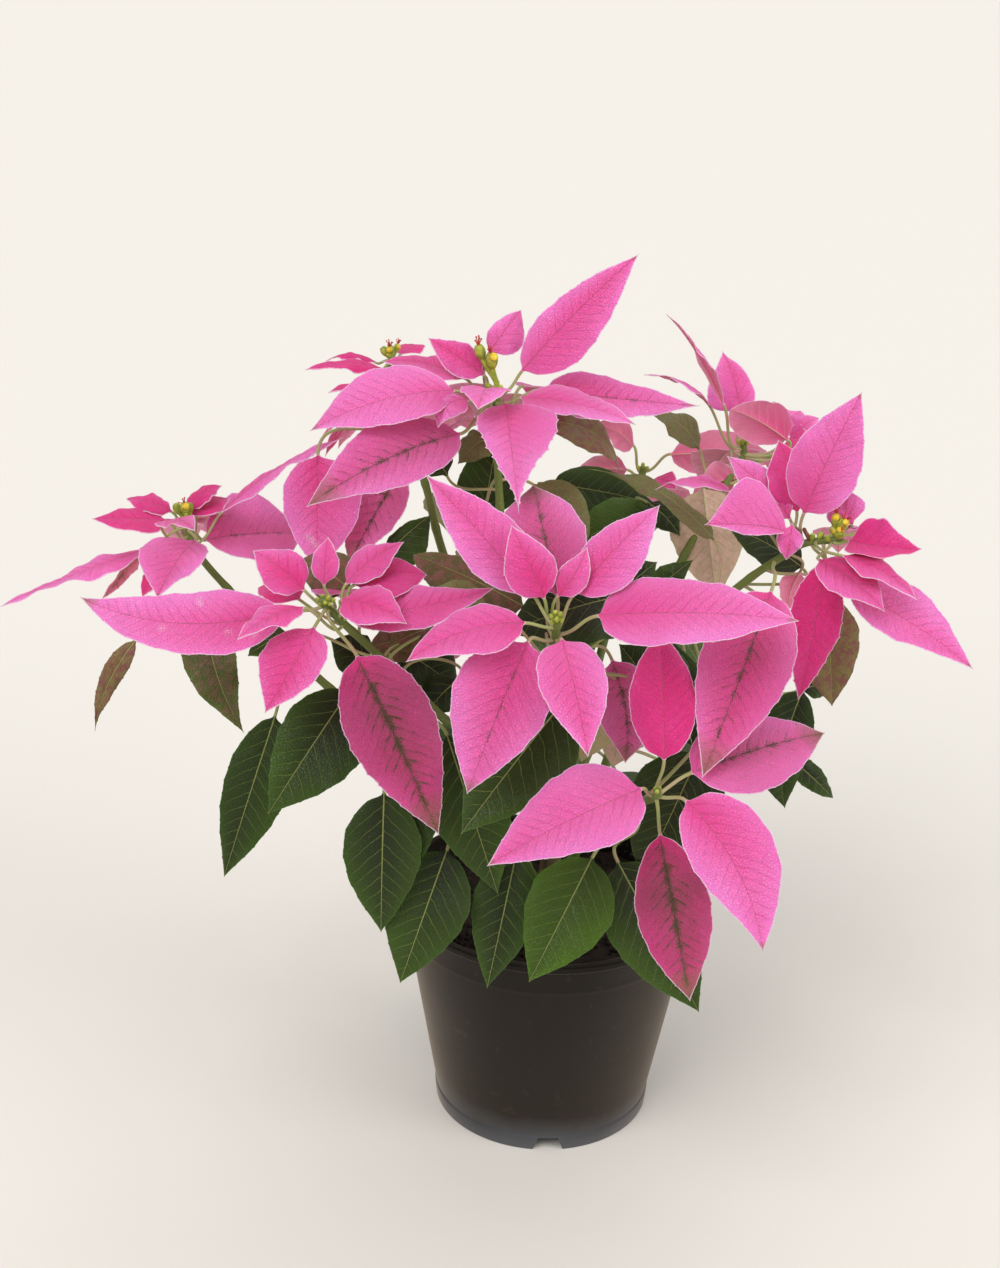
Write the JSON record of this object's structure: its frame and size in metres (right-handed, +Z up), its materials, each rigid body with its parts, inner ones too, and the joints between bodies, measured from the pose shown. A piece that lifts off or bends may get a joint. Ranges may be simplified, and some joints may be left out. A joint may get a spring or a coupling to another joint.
{
  "type": "poinsettia",
  "caption": "Pink poinsettia in a dark nursery pot: branches with star-shaped heads of pink bracts above green leaves that hang over the rim.",
  "frame": {"origin": "on the surface that the pot stands on, under the middle of the whole plant's box; the pot's axis is 42 mm to the right of it and 10 mm further back", "axes": "+Z up, -Y to the front of the plant, +X to its right along its widest spread"},
  "size_m": [0.5008, 0.3538, 0.4888],
  "materials": {
    "pot_plastic": "matte moulded polypropylene, slightly dusty",
    "peat": "dry crumbly peat",
    "woody_stem": "dull young bark",
    "green_stem": "smooth waxy green skin",
    "pink_bract": "soft satin, vivid pink with paler edges",
    "green_leaf": "satin dark green with pale veins",
    "flower_cups": "waxy green and yellow"
  },
  "bodies": {
    "root": {"back_bract_far": "pink_bract", "back_branch": "green_stem", "back_leaf_left": "green_leaf", "back_leaf_middle": "green_leaf", "back_leaf_right": "green_leaf", "back_right_bract_edge": "pink_bract", "back_right_branch": "green_stem", "back_right_flower_cluster": "flower_cups", "far_left_bract_front": "pink_bract", "far_left_bract_long": "pink_bract", "far_left_bract_right": "pink_bract", "far_left_branch": "green_stem", "far_left_flower_cluster": "flower_cups", "front_bract_down": "pink_bract", "front_bract_down_left": "pink_bract", "front_bract_left": "pink_bract", "front_bract_right": "pink_bract", "front_bract_up": "pink_bract", "front_bract_up_left": "pink_bract", "front_bract_up_right": "pink_bract", "front_branch": "green_stem", "front_flower_cluster": "flower_cups", "front_leaf_large": "green_leaf", "left_bract_hanging": "pink_bract", "left_bract_long": "pink_bract", "left_bract_low": "pink_bract", "left_branch": "green_stem", "left_flower_cluster": "flower_cups", "left_leaf_inner": "green_leaf", "left_leaf_outer": "green_leaf", "low_right_bract_down_right": "pink_bract", "low_right_bract_hanging": "pink_bract", "low_right_bract_left": "pink_bract", "low_right_bract_right": "pink_bract", "low_right_bract_up": "pink_bract", "low_right_branch": "green_stem", "low_right_flower_cluster": "flower_cups", "main_stem": "woody_stem", "pot": "pot_plastic", "right_bract_hanging": "pink_bract", "right_bract_low": "pink_bract", "right_bract_up": "pink_bract", "right_branch": "green_stem", "right_flower_cluster": "flower_cups", "right_leaf": "green_leaf", "rim_leaf_far_left": "green_leaf", "rim_leaf_front": "green_leaf", "rim_leaf_left": "green_leaf", "rim_leaf_right": "green_leaf", "soil": "peat", "top_bract_front": "pink_bract", "top_bract_left": "pink_bract", "top_bract_low_left": "pink_bract", "top_bract_right": "pink_bract", "top_bract_up_right": "pink_bract", "top_branch": "green_stem", "top_flower_cluster": "flower_cups", "top_left_bract_front": "pink_bract", "top_left_branch": "green_stem", "top_left_flower_cluster": "flower_cups"}
  },
  "joints": []
}
